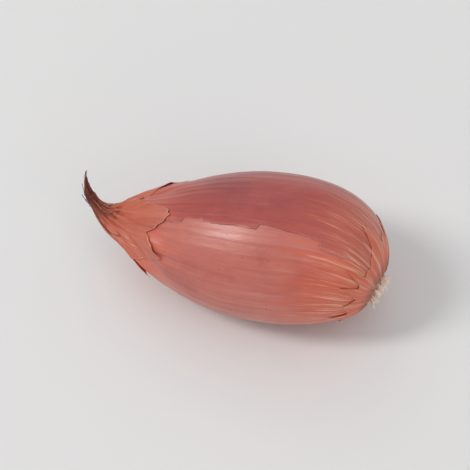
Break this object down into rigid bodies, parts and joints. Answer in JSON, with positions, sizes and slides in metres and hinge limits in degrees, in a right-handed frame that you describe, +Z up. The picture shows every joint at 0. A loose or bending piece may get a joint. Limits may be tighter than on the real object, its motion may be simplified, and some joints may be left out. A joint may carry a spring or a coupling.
{
  "type": "pink shallot",
  "caption": "Long pink shallot in its dry coppery skin, lying on its belly, with a withered neck at one end and trimmed dry roots at the other.",
  "frame": {"origin": "under the middle of the bounding box, on the surface that the bulb rests on", "axes": "+X along the bulb towards the root end, so the neck points along -X; +Y to the back, away from the viewer; +Z up"},
  "size_m": [0.068, 0.0322, 0.0303],
  "materials": {
    "dry_skin": "thin dry onion skin, satin, rosy copper with fine darker veins from root to neck",
    "outer_skin": "torn remnants of the oldest skin, papery and matt, orange copper to straw",
    "dry_neck": "withered neck and tail, matt, straw to dark brown",
    "dry_roots": "corky root plate and trimmed dry roots, matt cream to tan"
  },
  "bodies": {
    "root": {"shallot_bulb": "dry_skin"}
  },
  "joints": []
}
